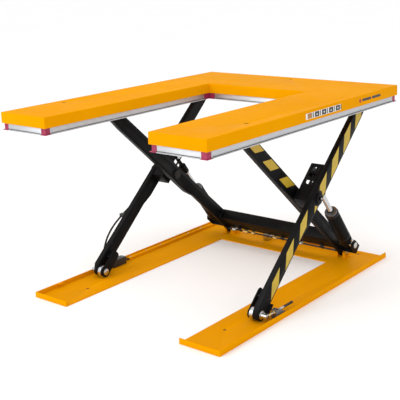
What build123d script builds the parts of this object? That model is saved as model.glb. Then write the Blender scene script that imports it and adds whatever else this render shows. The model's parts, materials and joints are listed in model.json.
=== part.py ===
from build123d import *
import math
import os

os.makedirs("parts", exist_ok=True)

# U-shaped low-profile scissor lift table, shown at the top of its travel.
# Millimetres. X is the width, +Y the closed (rear) end of the U, +Z up.
# The origin is on the floor, under the centre of the deck.

# ---------------------------------------------------------------- driving dimensions
DECK_WIDTH = 1140.0
DECK_LENGTH = 1450.0
SLOT_WIDTH = 580.0
SLOT_DEPTH = 1080.0
DECK_PLATE = 5.0
SKIRT_DEPTH = 48.0
SKIRT_PLATE = 4.0
RAISED_HEIGHT = 870.0
LOWERED_HEIGHT = 85.0
EYE_RADIUS = 10.0
EYE_X = 515.0
EYE_FRONT = -415.0
EYE_REAR = 665.0

BASE_WIDTH = 1074.0
BASE_FRONT = -650.0
BASE_REAR = 700.0
BASE_ARM_WIDTH = 206.0
BASE_BAR_DEPTH = 230.0
BASE_PLATE = 5.0
BASE_LIP = 25.0
ANCHOR_X = 405.0
ANCHOR_FRONT = -450.0
ANCHOR_REAR = 655.0
ANCHOR_RADIUS = 7.0

ARM_LENGTH = 1196.0
ARM_THICKNESS = 24.0
DOUBLER = 7.0
INNER_ARM_X = 354.0
OUTER_ARM_X = 474.0
REAR_PIVOT_Y = 587.0
ROLLER_RADIUS = 30.0
ROLLING_GAP = 0.3

PIN_RADIUS = 15.0
CENTRE_PIN_RADIUS = 18.0
AXLE_RADIUS = 12.5
BUSH_WALL = 3.0
RUNNING_FIT = 0.05

CYLINDER_X = 414.0
BASE_PIN_ALONG = 84.0
BASE_PIN_ABOVE = 8.0
ROD_PIN_ALONG = 104.0
ROD_PIN_ABOVE = 4.0
BARREL_RADIUS = 32.5
BORE_RADIUS = 25.0
ROD_RADIUS = 12.5
BARREL_END = 262.0

EDGE_DROP = 30.0
EDGE_INSET = 8.0
EDGE_WALL = 3.0
EDGE_CORNER = 34.0
EDGE_TRAVEL = 5.0

# ---------------------------------------------------------------- worked-out places
pivot_z = BASE_PLATE + ROLLER_RADIUS + ROLLING_GAP
raised_rise = RAISED_HEIGHT - DECK_PLATE - ROLLER_RADIUS - ROLLING_GAP - pivot_z
lowered_rise = LOWERED_HEIGHT - DECK_PLATE - ROLLER_RADIUS - ROLLING_GAP - pivot_z
raised_angle = math.asin(raised_rise / ARM_LENGTH)
lowered_angle = math.asin(lowered_rise / ARM_LENGTH)
run = math.cos(raised_angle)
climb = math.sin(raised_angle)
top_pivot_z = pivot_z + raised_rise
roller_y = REAR_PIVOT_Y - ARM_LENGTH * run
centre_y = (REAR_PIVOT_Y + roller_y) / 2
centre_z = (pivot_z + top_pivot_z) / 2
half_arm = ARM_LENGTH / 2

deck_underside = RAISED_HEIGHT - DECK_PLATE
skirt_bottom = RAISED_HEIGHT - SKIRT_DEPTH
half_slot = SLOT_WIDTH / 2
slot_end_y = -DECK_LENGTH / 2 + SLOT_DEPTH
base_slot_end_y = BASE_REAR - BASE_BAR_DEPTH

inner_in = INNER_ARM_X - ARM_THICKNESS / 2
inner_out = INNER_ARM_X + ARM_THICKNESS / 2
outer_in = OUTER_ARM_X - ARM_THICKNESS / 2
outer_out = OUTER_ARM_X + ARM_THICKNESS / 2


# ---------------------------------------------------------------- helpers
def side_plane(x):
    """Sketch plane seen from the side: sketch x runs along +Y, sketch y along +Z."""
    return Plane(origin=(x, 0, 0), x_dir=(0, 1, 0), z_dir=(1, 0, 0))


def side_slab(sketch, x0, x1):
    """Extrude a side-view sketch from x0 to x1."""
    return extrude(side_plane(x0) * sketch, amount=x1 - x0)


def inner_slab(sketch, x0, x1):
    """Extrude a sketch drawn along an inner arm: origin at its bottom pivot, +x up the arm."""
    plane = Plane(origin=(x1, REAR_PIVOT_Y, pivot_z), x_dir=(0, -run, climb), z_dir=(-1, 0, 0))
    return extrude(plane * sketch, amount=x1 - x0)


def outer_slab(sketch, x0, x1):
    """Extrude a sketch drawn along an outer arm: origin at its bottom roller, +x up the arm."""
    plane = Plane(origin=(x0, roller_y, pivot_z), x_dir=(0, run, climb), z_dir=(1, 0, 0))
    return extrude(plane * sketch, amount=x1 - x0)


def inner_point(along, above):
    """World Y and Z of a point given along and above an inner arm's pivot line."""
    return (REAR_PIVOT_Y - along * run + above * climb, pivot_z + along * climb + above * run)


def outer_point(along, above):
    """World Y and Z of a point given along and above an outer arm's pivot line."""
    return (roller_y + along * run - above * climb, pivot_z + along * climb + above * run)


def cross_cylinder(radius, x0, x1, y, z):
    """Cylinder whose axis runs across the machine."""
    return side_slab(Pos(y, z) * Circle(radius), x0, x1)


def block(x0, x1, y0, y1, z0, z1):
    """Box between two corners."""
    return Pos((x0 + x1) / 2, (y0 + y1) / 2, (z0 + z1) / 2) * Box(x1 - x0, y1 - y0, z1 - z0)


def upright(radius, x, y, z0, z1):
    """Vertical cylinder."""
    return Pos(x, y, (z0 + z1) / 2) * Cylinder(radius, z1 - z0)


def outline(points):
    """Closed polygon sketch."""
    return make_face(Polyline(*points, close=True))


def mirrored(shape):
    """The same piece on the left-hand side."""
    return mirror(shape, about=Plane.YZ)


def save(name, *shapes):
    """Write one node, from one solid or a group of separate solids."""
    solids = [solid for shape in shapes for solid in shape.solids()]
    part = solids[0] if len(solids) == 1 else Compound(children=solids)
    part.label = name
    export_step(part, f"parts/{name}.step")


def save_pair(name, shape):
    """Write a piece and its mirror image as two nodes."""
    save(f"{name}_right", shape)
    save(f"{name}_left", mirrored(shape))


# ---------------------------------------------------------------- base
def base_frame():
    """Plate bent up along its outer edges, with four anchor holes and an earthing tab."""
    half = BASE_WIDTH / 2
    half_gap = half - BASE_ARM_WIDTH
    length = BASE_REAR - BASE_FRONT
    middle_y = (BASE_REAR + BASE_FRONT) / 2
    sheet = Pos(0, middle_y) * Rectangle(BASE_WIDTH, length)
    gap_length = base_slot_end_y - BASE_FRONT
    sheet -= Pos(0, BASE_FRONT + gap_length / 2) * Rectangle(2 * half_gap, gap_length)
    frame = extrude(sheet, BASE_PLATE)
    for side in (-1, 1):
        outer = side * (half - BASE_PLATE / 2)
        frame += Pos(outer, middle_y, BASE_LIP / 2) * Box(BASE_PLATE, length, BASE_LIP)
        arm_middle = side * (half - BASE_ARM_WIDTH / 2)
        lip_y = BASE_FRONT + BASE_PLATE / 2
        frame += Pos(arm_middle, lip_y, BASE_LIP / 2) * Box(BASE_ARM_WIDTH, BASE_PLATE, BASE_LIP)
        for y in (ANCHOR_FRONT, ANCHOR_REAR):
            frame -= upright(ANCHOR_RADIUS, side * ANCHOR_X, y, -1, BASE_PLATE + 1)
    tab_x = BASE_PLATE + 7 - half
    frame += block(tab_x - 7, tab_x + 7, -520, -498, BASE_LIP - 5, BASE_LIP)
    return frame - upright(3.5, tab_x + 1, -509, BASE_LIP - 6, BASE_LIP + 1)


def base_lugs():
    """Four upright lugs that hold the two bottom pivot pins."""
    lug = Pos(REAR_PIVOT_Y, pivot_z) * Circle(22)
    lug += Pos(REAR_PIVOT_Y, (pivot_z + BASE_PLATE) / 2) * Rectangle(50, pivot_z - BASE_PLATE)
    lug -= Pos(REAR_PIVOT_Y, pivot_z) * Circle(PIN_RADIUS)
    inside = side_slab(lug, inner_in - 26, inner_in - 2)
    outside = side_slab(lug, inner_out + 2, inner_out + 16)
    return [inside, outside, mirrored(inside), mirrored(outside)]


def bottom_pivot_pins():
    pin = cross_cylinder(PIN_RADIUS, inner_in - 34, inner_out + 20, REAR_PIVOT_Y, pivot_z)
    pin += cross_cylinder(PIN_RADIUS + 4, inner_out + 16, inner_out + 22, REAR_PIVOT_Y, pivot_z)
    return [pin, mirrored(pin)]


def cable_duct():
    """Folded channel that covers the switch cable along the left lip."""
    outer = BASE_WIDTH / 2 - BASE_PLATE
    cover = block(-outer, -outer + 22, -60, 664, BASE_PLATE, BASE_PLATE + 13)
    return cover - block(-outer + 2, -outer + 20, -62, 666, BASE_PLATE - 1, BASE_PLATE + 11)


SWITCH_X = -510.0
SWITCH_REAR = -100.0
SWITCH_FRONT = -190.0
LEVER_Z = 33.0
LEVER_PIVOT_Y = -178.0


def limit_switch():
    """Switch body on the left lip, slotted at the front for its lever."""
    body = block(SWITCH_X - 17, SWITCH_X + 17, SWITCH_FRONT, SWITCH_REAR, BASE_PLATE, 42)
    body -= block(SWITCH_X - 5, SWITCH_X + 5, SWITCH_FRONT - 1, -160, 20, 43)
    return body + cross_cylinder(3, SWITCH_X - 17, SWITCH_X + 17, LEVER_PIVOT_Y, LEVER_Z)


def switch_lever():
    """Spring lever with a nose that the axle end touches at full height."""
    tip_y = roller_y + AXLE_RADIUS + 6.5
    arm = outline([(LEVER_PIVOT_Y + 6, LEVER_Z - 4), (LEVER_PIVOT_Y + 6, LEVER_Z + 4),
                   (tip_y, LEVER_Z + 3), (tip_y, LEVER_Z - 3)])
    arm += Pos(LEVER_PIVOT_Y, LEVER_Z) * Circle(6)
    arm += Pos(tip_y, LEVER_Z) * Circle(6)
    arm -= Pos(LEVER_PIVOT_Y, LEVER_Z) * Circle(3 + RUNNING_FIT)
    return side_slab(arm, SWITCH_X - 3.5, SWITCH_X + 3.5)


STOP_X = 509.0
STOP_Z = 33.0
STOP_BLOCK_FRONT = -244.0
STOP_BLOCK_REAR = -176.0


def travel_stop_block():
    """Sloped block on the right lip that carries the upper travel stop screw."""
    side = outline([(STOP_BLOCK_FRONT, BASE_PLATE), (STOP_BLOCK_FRONT, 44),
                    (STOP_BLOCK_FRONT + 22, 44), (STOP_BLOCK_REAR, 18), (STOP_BLOCK_REAR, BASE_PLATE)])
    body = side_slab(side, STOP_X - 13, STOP_X + 13)
    return body - travel_stop_screw()


def travel_stop_screw():
    front = roller_y + AXLE_RADIUS + 14
    screw = Pos(STOP_X, (front - 106) / 2, STOP_Z) * Rot(90, 0, 0) * Cylinder(5, -106 - front)
    return screw


def travel_stop_nut():
    """Brass nose and lock nut on the front of the stop screw."""
    tip = roller_y + AXLE_RADIUS + 0.5
    nose = Pos(STOP_X, tip + 10, STOP_Z) * Rot(90, 0, 0) * Cylinder(7, 20)
    nut = Pos(STOP_X, STOP_BLOCK_FRONT - 5, STOP_Z) * Rot(90, 0, 0)
    nut *= extrude(RegularPolygon(10, 6), 5, both=True)
    screw = travel_stop_screw()
    return [nose - screw, nut - screw]


SWIVEL_X = -110.0
SUPPLY_Y = 655.0
SUPPLY_Z = 14.0
COUPLING_X = 315.0
COUPLING_Z = 17.0
COUPLING_RADIUS = 10.0


def swivel_body():
    """Pedestal with a bore on the bottom pivot axis, fed by the supply pipe."""
    body = block(SWIVEL_X - 16, SWIVEL_X + 16, REAR_PIVOT_Y - 15, REAR_PIVOT_Y + 17, BASE_PLATE, pivot_z + 13)
    body = fillet(body.edges().filter_by(Axis.X).group_by(Axis.Z)[-1], 6)
    bore = cross_cylinder(6 + RUNNING_FIT, SWIVEL_X - 10, SWIVEL_X + 17, REAR_PIVOT_Y, pivot_z)
    return body - bore


def supply_pipe():
    """Steel pipe from the swivel block to the supply coupling on the rear bar."""
    start = (SWIVEL_X, REAR_PIVOT_Y + 17, SUPPLY_Z)
    end = (COUPLING_X - 15, SUPPLY_Y, SUPPLY_Z)
    path = FilletPolyline(start, (SWIVEL_X, SUPPLY_Y, SUPPLY_Z), end, radius=24)
    return sweep(Plane(origin=start, z_dir=(0, 1, 0)) * Circle(5), path=path)


def supply_coupling():
    """Block and nipple for the hose of the separate power unit."""
    rear = SUPPLY_Y + 13
    body = block(COUPLING_X - 15, COUPLING_X + 15, SUPPLY_Y - 15, rear, BASE_PLATE, COUPLING_Z + 12)
    return body + Pos(COUPLING_X, rear + 9, COUPLING_Z) * Rot(90, 0, 0) * Cylinder(COUPLING_RADIUS, 20)


def pipe_cover():
    """Folded strip over the supply line along the rear bar."""
    y0 = SUPPLY_Y - 14
    cover = block(112, 290, y0, y0 + 26, BASE_PLATE, 24)
    return cover - block(111, 291, y0 + 2, y0 + 24, BASE_PLATE - 1, 22)


# ---------------------------------------------------------------- arms
def arm_outline():
    """Cranked flat-bar outline shared by all four arms, drawn along the pivot line."""
    low = [(0, -22), (410, -22), (470, -34), (ARM_LENGTH - 120, -34), (ARM_LENGTH, -26)]
    high = [(ARM_LENGTH, 26), (ARM_LENGTH - 120, 30.5), (half_arm + 30, 36), (14, 42), (-16, 21)]
    shape = outline(low + high)
    shape += Circle(26)
    shape += Pos(ARM_LENGTH, 0) * Circle(26)
    return shape


def inner_arm():
    """Flat bar with a doubler plate welded on around the centre pin."""
    shape = arm_outline()
    shape -= Circle(PIN_RADIUS + BUSH_WALL)
    shape -= Pos(half_arm, 0) * Circle(CENTRE_PIN_RADIUS)
    shape -= Pos(ARM_LENGTH, 0) * Circle(AXLE_RADIUS)
    shape -= Pos(BASE_PIN_ALONG, BASE_PIN_ABOVE) * Circle(11)
    doubler = outline([(410, -22), (470, -34), (720, -34), (760, -20), (760, 16), (700, 30), (500, 30), (440, 12)])
    doubler -= Pos(half_arm, 0) * Circle(CENTRE_PIN_RADIUS)
    return inner_slab(shape, inner_in, inner_out) + inner_slab(doubler, inner_out, inner_out + DOUBLER)


def outer_arm():
    """Flat bar with its roller fork and the eight-sided centre plate welded on."""
    shape = arm_outline()
    shape -= Circle(AXLE_RADIUS)
    shape -= Pos(half_arm, 0) * Circle(CENTRE_PIN_RADIUS + BUSH_WALL)
    shape -= Pos(ARM_LENGTH, 0) * Circle(PIN_RADIUS + BUSH_WALL)
    plate = Pos(half_arm, 0) * (RegularPolygon(37, 8) - Circle(CENTRE_PIN_RADIUS + BUSH_WALL))
    return outer_slab(shape, outer_in, outer_out) + outer_slab(plate, outer_out, outer_out + 4) + roller_fork() + striker()


def bush(radius, x0, x1, y, z):
    """Plain bearing bush on a pin that runs across the machine."""
    ring = Pos(y, z) * (Circle(radius + BUSH_WALL) - Circle(radius + RUNNING_FIT))
    return side_slab(ring, x0, x1)


# ---------------------------------------------------------------- inner frame
def cross_beam():
    """Folded channel with two ribs, between the inner arms just above their bottom pivots."""
    channel = outline([(40, -12), (142, -12), (142, 42), (96, 42), (96, 36), (136, 36), (136, -6), (40, -6)])
    rib = outline([(62, -6), (136, -6), (136, 36), (100, 36)])
    rib -= Pos(BASE_PIN_ALONG, BASE_PIN_ABOVE) * Circle(9)
    beam = inner_slab(channel, -inner_in, inner_in)
    for x in (-230, 230):
        beam += inner_slab(rib, x - 3, x + 3)
    return beam


def centre_pin():
    """Pin that carries the outer arm, with its collar against the inner arm."""
    pin = cross_cylinder(CENTRE_PIN_RADIUS, inner_in - 6, outer_out + 5, centre_y, centre_z)
    return pin + cross_cylinder(24, inner_out + DOUBLER, outer_in - 2, centre_y, centre_z)


def centre_cap():
    """End cap screwed to the centre pin, outside the outer arm."""
    cap = cross_cylinder(25, outer_out + 5, outer_out + 11, centre_y, centre_z)
    cap = chamfer(cap.edges().sort_by(Axis.X)[-1:], 1.5)
    plane = side_plane(outer_out + 11) * Pos(centre_y, centre_z)
    return cap + extrude(plane * RegularPolygon(9, 6), 6)


def cylinder_clevis():
    """Outboard lug and back plate that hold the foot of the cylinder."""
    back = outline([(40, -18), (46, -18), (46, 30), (40, 30)])
    lug = outline([(40, -18), (96, -18), (108, -4), (108, 22), (98, 30), (40, 30)])
    lug -= Pos(BASE_PIN_ALONG, BASE_PIN_ABOVE) * Circle(11)
    return inner_slab(back, inner_out, outer_in - 14) + inner_slab(lug, outer_in - 14, outer_in - 6)


def cylinder_base_pin():
    y, z = inner_point(BASE_PIN_ALONG, BASE_PIN_ABOVE)
    return cross_cylinder(11, inner_in - 12, outer_in - 4, y, z)


TEE_X = -110.0
BLEED_JOINTS = ((-316, 14), (-222, 12), (-172, 8), (-30, 8), (70, 16), (128, 9))
BLEED_CLIPS = (-260, 20, 260)


def feed_tee():
    tee = outline([(70, -6), (98, -6), (98, 22), (70, 22)])
    return inner_slab(tee, TEE_X - 20, TEE_X + 20)


def feed_line():
    """Tee inside the channel, with a pipe to the banjo on each cylinder foot pin."""
    y, z = inner_point(BASE_PIN_ALONG, BASE_PIN_ABOVE)
    line = feed_tee()
    for side in (-1, 1):
        end = side * (inner_in - 30)
        line += cross_cylinder(4, *sorted((TEE_X, end)), y, z)
        line += cross_cylinder(14, *sorted((end + side * 8, end + side * 18)), y, z)
        nut = side_plane(min(end, end + side * 8)) * Pos(y, z) * RegularPolygon(10, 6)
        line += extrude(nut, 8)
    return line


def bleed_line():
    """Pipe clipped under the front lower edge of the channel, with a nut at each joint."""
    y, z = inner_point(34, -20)
    line = cross_cylinder(4, -inner_in, inner_in, y, z)
    for x, half_width in BLEED_JOINTS:
        nut = side_plane(x - half_width) * Pos(y, z) * RegularPolygon(8, 6)
        line += extrude(nut, 2 * half_width)
    for x in BLEED_CLIPS:
        line += inner_slab(outline([(29, -25), (58, -25), (58, -12), (29, -12)]), x - 5, x + 5)
    return line


def swivel_stem():
    """Stem turning in the swivel block, with its pipe into the tee."""
    stem = cross_cylinder(6, SWIVEL_X - 8, SWIVEL_X + 26, REAR_PIVOT_Y, pivot_z)
    stem += cross_cylinder(9, SWIVEL_X + 18, SWIVEL_X + 34, REAR_PIVOT_Y, pivot_z)
    neck = outline([(0, -4), (60, 0), (60, 8), (0, 4)])
    stem += inner_slab(neck, SWIVEL_X + 22, SWIVEL_X + 30)
    elbow = outline([(56, 0), (76, 0), (76, 8), (56, 8)])
    return stem + inner_slab(elbow, SWIVEL_X + 12, SWIVEL_X + 30) - feed_tee()


def top_axle():
    """Stub axle with a shoulder against the arm and a collar outside the roller."""
    pin = cross_cylinder(AXLE_RADIUS, inner_in - 3, inner_out + 32, roller_y, top_pivot_z)
    pin += cross_cylinder(18, inner_out, inner_out + 3, roller_y, top_pivot_z)
    return pin + cross_cylinder(17, inner_out + 29, inner_out + 32, roller_y, top_pivot_z)


# ---------------------------------------------------------------- rollers
def roller(x0, x1, z):
    """Steel roller with rounded rims and a relieved web."""
    body = cross_cylinder(ROLLER_RADIUS, x0, x1, roller_y, z)
    body = fillet(body.edges().filter_by(GeomType.CIRCLE), 2.5)
    groove = Pos(roller_y, z) * (Circle(23) - Circle(18))
    body -= side_slab(groove, x0 - 1, x0 + 1.5)
    body -= side_slab(groove, x1 - 1.5, x1 + 1)
    return body - cross_cylinder(AXLE_RADIUS + RUNNING_FIT, x0 - 1, x1 + 1, roller_y, z)


# ---------------------------------------------------------------- outer arms
def roller_fork():
    """Inboard cheek and spacer block that make the outer arm's end a fork."""
    cheek = outline([(0, -24), (104, -20), (112, -8), (112, 18), (100, 26), (0, 24)])
    cheek += Circle(25)
    cheek -= Circle(AXLE_RADIUS)
    spacer = Pos(90, 2) * Rectangle(36, 34)
    return outer_slab(cheek, outer_in - 32, outer_in - 25) + outer_slab(spacer, outer_in - 25, outer_in)


def striker():
    """Plate under the outer arm's lower end that meets the travel stop and the limit switch."""
    return outer_slab(outline([(22, -28), (68, -28), (68, -21), (22, -21)]), outer_in, outer_out + 14)


def bottom_axle():
    axle = cross_cylinder(AXLE_RADIUS, outer_in - 35, outer_out + 30, roller_y, pivot_z)
    flat = block(outer_out + 14, outer_out + 31, roller_y - 14, roller_y + 14, pivot_z + 9, pivot_z + 14)
    return axle - flat


HOUSING_REACH = 42.0
HOUSING_HALF = 33.0
LADDER_START = half_arm + 28
LADDER_END = half_arm + 158
SLOT_MIDDLE = 88.0
SLOT_ABOVE = 2.2
SLOT_LENGTH = 51.0
SLOT_HEIGHT = 34.0


def rod_bracket():
    """Box bracket inside the outer arm: three windows over two slotted cheeks, and a box round the pin."""
    x0 = CYLINDER_X - 20
    top = outline([(LADDER_START, 28), (LADDER_END, 28), (LADDER_END, 34), (LADDER_START, 34)])
    bracket = outer_slab(top, x0, outer_in)
    for window in range(3):
        along = LADDER_START + 28 + 37 * window
        hole = Pos(along, 31) * Rectangle(23, 8)
        bracket -= outer_slab(hole, x0 + 16, outer_in - 16)
    cheek = outline([(LADDER_START, -22), (LADDER_END - 14, -22), (LADDER_END, -8),
                     (LADDER_END, 28), (LADDER_START, 28)])
    cheek -= Pos(half_arm + SLOT_MIDDLE, SLOT_ABOVE) * RectangleRounded(SLOT_LENGTH, SLOT_HEIGHT, 8)
    bracket += outer_slab(cheek, x0, x0 + 7)
    bracket += outer_slab(cheek, CYLINDER_X + 13, CYLINDER_X + 20)
    end = outline([(LADDER_START, -22), (LADDER_START + 6, -22), (LADDER_START + 6, 28), (LADDER_START, 28)])
    return bracket + outer_slab(end, x0, outer_in) + pivot_housing(x0)


def pivot_housing(x0):
    """Box round the centre pin, between the arms, that stiffens the bracket's lower end."""
    start = half_arm - HOUSING_REACH
    width = LADDER_START + 6 - start
    middle = Pos(start + width / 2, 0)
    section = middle * Rectangle(width, 2 * HOUSING_HALF)
    walls = section - middle * Rectangle(width - 12, 2 * HOUSING_HALF - 12)
    face = section - Pos(half_arm, 0) * Circle(26)
    return outer_slab(walls, x0, outer_in) + outer_slab(face, x0, x0 + 6)


# ---------------------------------------------------------------- conduit on the left outer arm
CONDUIT_RADIUS = 5.0


def conduit_point(along, above, out):
    y, z = outer_point(along, above)
    return (-outer_out - out, y, z)


conduit_route = [conduit_point(404, 12, 7), conduit_point(352, 20, 12), conduit_point(300, 27, 22),
                 conduit_point(232, 29, 35), conduit_point(165, 26, 34), conduit_point(110, 18, 20),
                 conduit_point(66, 8, 9)]


def corner_radii(points, share=0.45):
    """Largest tangent-arc radius that each corner's shorter run allows."""
    radii = []
    for before, corner, after in zip(points, points[1:], points[2:]):
        run_in = Vector(*corner) - Vector(*before)
        run_out = Vector(*after) - Vector(*corner)
        half_turn = math.radians(run_in.get_angle(run_out) / 2)
        radii.append(share * min(run_in.length, run_out.length) / math.tan(half_turn))
    return radii


def conduit():
    radii = corner_radii(conduit_route)
    path = FilletPolyline(*conduit_route, radius=radii)
    start = Vector(*conduit_route[0])
    heading = Vector(*conduit_route[1]) - start
    return sweep(Plane(origin=start, z_dir=heading) * Circle(CONDUIT_RADIUS), path=path)


def conduit_fittings():
    """Gland at each end of the conduit and the stand-off clip near its top."""
    pieces = []
    for end, inward in ((conduit_route[0], conduit_route[1]), (conduit_route[-1], conduit_route[-2])):
        heading = (Vector(*end) - Vector(*inward)).normalized()
        gland = Plane(origin=Vector(*end), z_dir=heading) * Pos(0, 0, 9) * Cylinder(7, 18)
        pieces.append(gland)
    clip_y, clip_z = outer_point(300, 27)
    pieces.append(block(-outer_out - 30, 0, clip_y - 9, clip_y + 9, clip_z - 9, clip_z + 9))
    arm_side = block(-outer_out, 0, roller_y, REAR_PIVOT_Y, pivot_z, top_pivot_z)
    return [piece - arm_side for piece in pieces]


# ---------------------------------------------------------------- deck
def u_outline(inset):
    """The deck's U shape, drawn inward by inset all round."""
    shape = Rectangle(DECK_WIDTH - 2 * inset, DECK_LENGTH - 2 * inset)
    depth = slot_end_y + inset + DECK_LENGTH / 2
    return shape - Pos(0, -DECK_LENGTH / 2 + depth / 2) * Rectangle(SLOT_WIDTH + 2 * inset, depth)


def u_band(outside, inside, z0, z1):
    """Closed band that follows the U between two insets."""
    band = u_outline(outside) - u_outline(inside)
    return extrude(Plane.XY.offset(z0) * band, z1 - z0)


def deck():
    body = extrude(Plane.XY.offset(skirt_bottom) * u_outline(0), SKIRT_DEPTH)
    body = fillet(body.edges().group_by(Axis.Z)[-1], 3)
    body -= extrude(Plane.XY.offset(skirt_bottom - 1) * u_outline(SKIRT_PLATE), SKIRT_DEPTH - DECK_PLATE + 1)
    for x, y in ((-EYE_X, EYE_FRONT), (EYE_X, EYE_FRONT), (0, EYE_REAR)):
        body -= upright(EYE_RADIUS, x, y, deck_underside - 1, RAISED_HEIGHT + 1)
    return body


def top_lugs():
    """Two lugs under the deck that hold one outer arm's top pin."""
    lug = Pos(REAR_PIVOT_Y, top_pivot_z) * Circle(26)
    lug += Pos(REAR_PIVOT_Y, (top_pivot_z + deck_underside) / 2) * Rectangle(60, deck_underside - top_pivot_z)
    lug -= Pos(REAR_PIVOT_Y, top_pivot_z) * Circle(PIN_RADIUS)
    return [side_slab(lug, outer_in - 16, outer_in - 4), side_slab(lug, outer_out + 4, outer_out + 16)]


def top_pin():
    pin = cross_cylinder(PIN_RADIUS, outer_in - 20, outer_out + 20, REAR_PIVOT_Y, top_pivot_z)
    return pin + cross_cylinder(PIN_RADIUS + 4, outer_out + 16, outer_out + 22, REAR_PIVOT_Y, top_pivot_z)


def roller_guide():
    """Flat bar under the deck that keeps the top roller on its track."""
    return block(inner_out + 38, inner_out + 44, -652, -262, deck_underside - 14, deck_underside)


# ---------------------------------------------------------------- safety edge
edge_bottom = skirt_bottom - EDGE_DROP
edge_top = skirt_bottom + 12
flange_inset = EDGE_INSET + 13


def edge_ring():
    """Contact edge profile: web, outward foot and inward top flange."""
    ring = u_band(EDGE_INSET, EDGE_INSET + EDGE_WALL, edge_bottom, edge_top)
    ring += u_band(EDGE_INSET - 6, EDGE_INSET + EDGE_WALL, edge_bottom, edge_bottom + EDGE_WALL)
    return ring + u_band(EDGE_INSET, flange_inset, edge_top - EDGE_WALL, edge_top)


def edge_corner_zones():
    """Boxes round the eight corners of the U where the plastic corners sit."""
    half = DECK_WIDTH / 2
    end = DECK_LENGTH / 2
    places = {
        "front_outer": (half, -end, -1, 1), "front_inner": (half_slot, -end, 1, 1),
        "rear_outer": (half, end, -1, -1), "slot": (half_slot, slot_end_y, 1, 1),
    }
    zones = {}
    for name, (x, y, to_x, to_y) in places.items():
        reach = EDGE_CORNER
        if name == "slot":
            zones[name] = Pos(x + 4, y + 4, edge_bottom + 20) * Box(2 * reach, 2 * reach, 60)
        else:
            zones[name] = Pos(x, y, edge_bottom + 20) * Box(2 * reach, 2 * reach, 60)
    return zones


def safety_edge():
    """Split the contact edge into plastic corners and straight aluminium rails."""
    ring = edge_ring()
    corners = {}
    rails = ring
    for name, zone in edge_corner_zones().items():
        for side, box in (("right", zone), ("left", mirrored(zone))):
            corners[f"{name}_{side}"] = ring & box
            rails -= box
    return corners, rails.solids()


def rail_name(solid):
    """Name a rail by where its middle lies."""
    centre = solid.center()
    if centre.Y < -DECK_LENGTH / 2 + 40:
        return "edge_rails_front"
    if centre.Y > DECK_LENGTH / 2 - 40:
        return "edge_rail_rear"
    if abs(centre.X) < 10:
        return "edge_rail_slot_end"
    return "edge_rails_outer" if abs(centre.X) > half_slot + 60 else "edge_rails_inner"


def edge_stations():
    """Where the contact edge hangs from the skirt: x, y and the inward direction."""
    side_x = DECK_WIDTH / 2 - EDGE_INSET - 7
    slot_x = half_slot + EDGE_INSET + 7
    stations = []
    for side in (-1, 1):
        for y in (-400, 350):
            stations.append((side * side_x, y, -side, 0))
        for y in (-400, 100):
            stations.append((side * slot_x, y, side, 0))
        stations.append((side * 430, -DECK_LENGTH / 2 + EDGE_INSET + 7, 0, 1))
        stations.append((side * 300, DECK_LENGTH / 2 - EDGE_INSET - 7, 0, -1))
    stations.append((0, slot_end_y + EDGE_INSET + 7, 0, 1))
    return stations


def edge_hanger(x, y, in_x, in_y):
    """Small shelf on the inside of the skirt with a hole for the guide pin."""
    reach_out = EDGE_INSET + 7 - SKIRT_PLATE
    reach_in = 10
    x0, x1 = sorted((x - in_x * reach_out, x + in_x * reach_in)) if in_x else (x - 11, x + 11)
    y0, y1 = sorted((y - in_y * reach_out, y + in_y * reach_in)) if in_y else (y - 11, y + 11)
    shelf = block(x0, x1, y0, y1, edge_top + EDGE_TRAVEL + 1, edge_top + EDGE_TRAVEL + 5)
    return shelf - upright(4.5, x, y, edge_top, edge_top + 20)


def edge_guide_pin(x, y):
    """Headed pin fixed to the contact edge, hanging on its shelf."""
    shelf_top = edge_top + EDGE_TRAVEL + 5
    return upright(4, x, y, edge_top, shelf_top + 1) + upright(7, x, y, shelf_top + 0.3, shelf_top + 4)


# ---------------------------------------------------------------- cylinders
foot_y, foot_z = inner_point(BASE_PIN_ALONG, BASE_PIN_ABOVE)
eye_y, eye_z = outer_point(half_arm + ROD_PIN_ALONG, ROD_PIN_ABOVE)
cylinder_length = math.hypot(eye_y - foot_y, eye_z - foot_z)
cylinder_axis = (0, (eye_y - foot_y) / cylinder_length, (eye_z - foot_z) / cylinder_length)


cylinder_plane = Plane(origin=(CYLINDER_X, foot_y, foot_z), x_dir=(1, 0, 0), z_dir=cylinder_axis)


def along_cylinder(radius, start, end):
    """Round piece on the cylinder's axis, measured from its foot pin."""
    return cylinder_plane * Pos(0, 0, (start + end) / 2) * Cylinder(radius, end - start)


def barrel():
    """Barrel with its foot eye and a bleed port near the foot."""
    body = along_cylinder(BARREL_RADIUS, 24, BARREL_END - 12)
    body = chamfer(body.edges().filter_by(GeomType.CIRCLE).sort_by(lambda edge: edge.center().Z)[:1], 3)
    body += cross_cylinder(19, CYLINDER_X - 15, CYLINDER_X + 15, foot_y, foot_z)
    body += cylinder_plane * Pos(0, 0, 18) * Box(26, 26, 24)
    body += cylinder_plane * Pos(BARREL_RADIUS, 0, 42) * Box(8, 16, 16)
    body += cylinder_plane * Pos(BARREL_RADIUS + 7, 0, 42) * Rot(0, 90, 0) * Cylinder(6, 8)
    body -= along_cylinder(BORE_RADIUS, 44, BARREL_END)
    return body - cross_cylinder(11 + RUNNING_FIT, CYLINDER_X - 20, CYLINDER_X + 20, foot_y, foot_z)


def gland():
    """Gland nut at the mouth of the barrel."""
    ring = along_cylinder(BORE_RADIUS, BARREL_END - 30, BARREL_END - 12)
    ring += along_cylinder(BARREL_RADIUS - 2, BARREL_END - 12, BARREL_END)
    ring += along_cylinder(ROD_RADIUS + 6, BARREL_END, BARREL_END + 5)
    return ring - along_cylinder(ROD_RADIUS + RUNNING_FIT, BARREL_END - 40, BARREL_END + 10)


ROD_INNER_END = 212.0
SOCKET_START = 392.0
SOCKET_END = 440.0


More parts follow.
